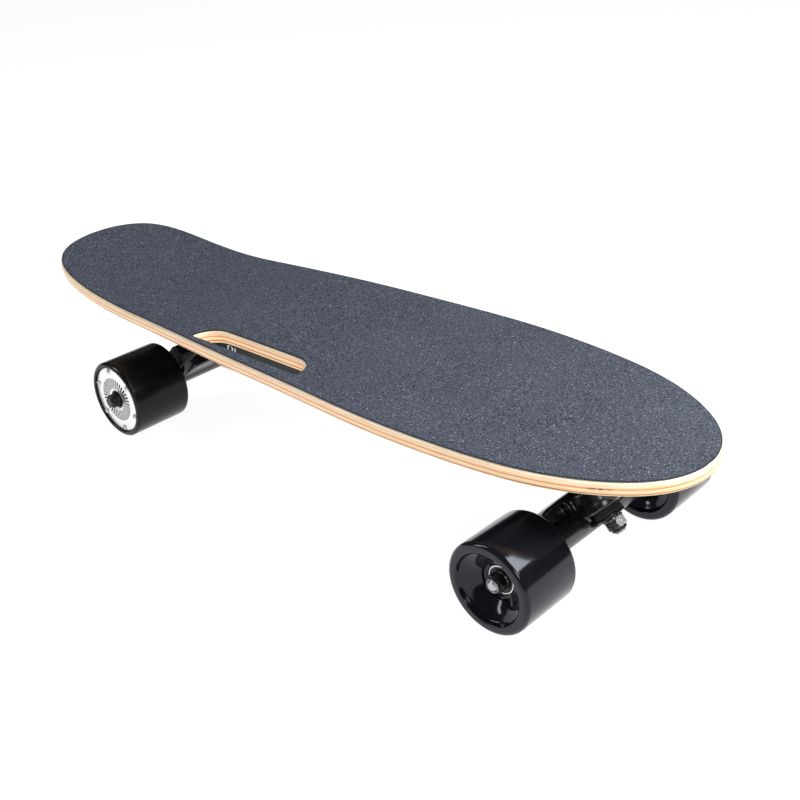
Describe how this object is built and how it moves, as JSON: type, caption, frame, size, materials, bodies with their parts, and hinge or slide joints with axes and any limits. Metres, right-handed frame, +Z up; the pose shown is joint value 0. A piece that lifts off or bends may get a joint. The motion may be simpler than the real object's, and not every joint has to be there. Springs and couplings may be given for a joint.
{
  "type": "electric skateboard",
  "caption": "Short electric skateboard: laminated deck with a hand slot and kicked tail, sprung steering trucks, soft wheels and one hub motor wheel.",
  "frame": {"origin": "on the ground under the middle of the board", "axes": "+X towards the wide nose, +Y to the left, +Z up"},
  "size_m": [0.6996, 0.2322, 0.1412],
  "materials": {
    "maple": "clear-sealed maple plies, satin",
    "grip": "slate grit sheet",
    "box_plastic": "black moulded, fine texture",
    "soft_rubber": "black rubber",
    "cell_wrap": "shrink wrap",
    "circuit_board": "coated board",
    "socket_metal": "bright plated ring",
    "cable_jacket": "black jacket",
    "black_casting": "black coated casting",
    "bushing_urethane": "black urethane",
    "black_steel": "black oxide",
    "axle_steel": "ground steel",
    "bearing_steel": "bright rings",
    "alloy": "plain",
    "can_alloy": "dark anodised",
    "wheel_urethane": "gloss black urethane",
    "cover_alloy": "bright turned disc",
    "winding_copper": "enamelled windings on laminations"
  },
  "bodies": {
    "deck_body": {"deck": "maple", "grip_tape": "grip", "electronics_enclosure": "box_plastic", "enclosure_gasket": "soft_rubber", "battery_pack": "cell_wrap", "motor_controller": "circuit_board", "charging_port": "socket_metal", "motor_cable": "cable_jacket", "front_riser_pad": "soft_rubber", "rear_riser_pad": "soft_rubber", "front_baseplate": "black_casting", "rear_baseplate": "black_casting", "front_pivot_cup": "bushing_urethane", "rear_pivot_cup": "bushing_urethane", "front_kingpin": "black_steel", "rear_kingpin": "black_steel", "front_kingpin_nut": "black_steel", "rear_kingpin_nut": "black_steel", "front_boardside_bushing": "bushing_urethane", "front_roadside_bushing": "bushing_urethane", "rear_boardside_bushing": "bushing_urethane", "rear_roadside_bushing": "bushing_urethane", "front_boardside_washer": "black_steel", "front_roadside_washer": "black_steel", "rear_boardside_washer": "black_steel", "rear_roadside_washer": "black_steel", "front_inner_left_bolt": "black_steel", "front_inner_right_bolt": "black_steel", "front_outer_left_bolt": "black_steel", "front_outer_right_bolt": "black_steel", "rear_inner_left_bolt": "black_steel", "rear_inner_right_bolt": "black_steel", "rear_outer_left_bolt": "black_steel", "rear_outer_right_bolt": "black_steel"},
    "front_hanger_body": {"front_hanger": "black_casting", "front_axle": "axle_steel", "front_left_axle_nut": "black_steel", "front_right_axle_nut": "black_steel"},
    "rear_hanger_body": {"rear_hanger": "black_casting", "rear_axle": "axle_steel", "rear_left_axle_nut": "black_steel", "motor_axle_nut": "black_steel", "motor_stator": "winding_copper"},
    "front_left_wheel_body": {"front_left_wheel": "wheel_urethane", "front_left_inner_bearing": "bearing_steel", "front_left_outer_bearing": "bearing_steel", "front_left_spacer": "alloy"},
    "front_right_wheel_body": {"front_right_wheel": "wheel_urethane", "front_right_inner_bearing": "bearing_steel", "front_right_outer_bearing": "bearing_steel", "front_right_spacer": "alloy"},
    "rear_left_wheel_body": {"rear_left_wheel": "wheel_urethane", "rear_left_inner_bearing": "bearing_steel", "rear_left_outer_bearing": "bearing_steel", "rear_left_spacer": "alloy"},
    "motor_wheel_body": {"motor_tyre": "wheel_urethane", "motor_can": "can_alloy", "motor_cover": "cover_alloy", "motor_bearing": "bearing_steel"},
    "power_button_body": {"power_button": "box_plastic"}
  },
  "joints": [
    {"name": "front_steer", "type": "hinge", "parent": "deck_body", "child": "front_hanger_body", "pos_m": [0.26076, 0, 0.0557], "axis": [0.7326, 0, 0.6807], "range_deg": [-18, 18], "stiffness_Nm_per_rad": 70, "deforming": ["front_boardside_bushing", "front_roadside_bushing"]},
    {"name": "rear_steer", "type": "hinge", "parent": "deck_body", "child": "rear_hanger_body", "pos_m": [-0.20288, 0, 0.05693], "axis": [-0.7031, 0, 0.7111], "range_deg": [-18, 18], "stiffness_Nm_per_rad": 70, "deforming": ["rear_boardside_bushing", "rear_roadside_bushing", "motor_cable"]},
    {"name": "front_left_spin", "type": "hinge", "parent": "front_hanger_body", "child": "front_left_wheel_body", "pos_m": [0.255, 0.0891, 0.035], "axis": [0, 1, 0], "continuous": true},
    {"name": "front_right_spin", "type": "hinge", "parent": "front_hanger_body", "child": "front_right_wheel_body", "pos_m": [0.255, -0.0891, 0.035], "axis": [0, 1, 0], "continuous": true},
    {"name": "rear_left_spin", "type": "hinge", "parent": "rear_hanger_body", "child": "rear_left_wheel_body", "pos_m": [-0.198, 0.0891, 0.036], "axis": [0, 1, 0], "continuous": true},
    {"name": "motor_spin", "type": "hinge", "parent": "rear_hanger_body", "child": "motor_wheel_body", "pos_m": [-0.198, -0.075, 0.036], "axis": [0, 1, 0], "continuous": true},
    {"name": "power_button_press", "type": "slide", "parent": "deck_body", "child": "power_button_body", "axis": [0, 1, 0], "range_m": [0, 0.001], "stiffness_N_per_m": 900}
  ]
}
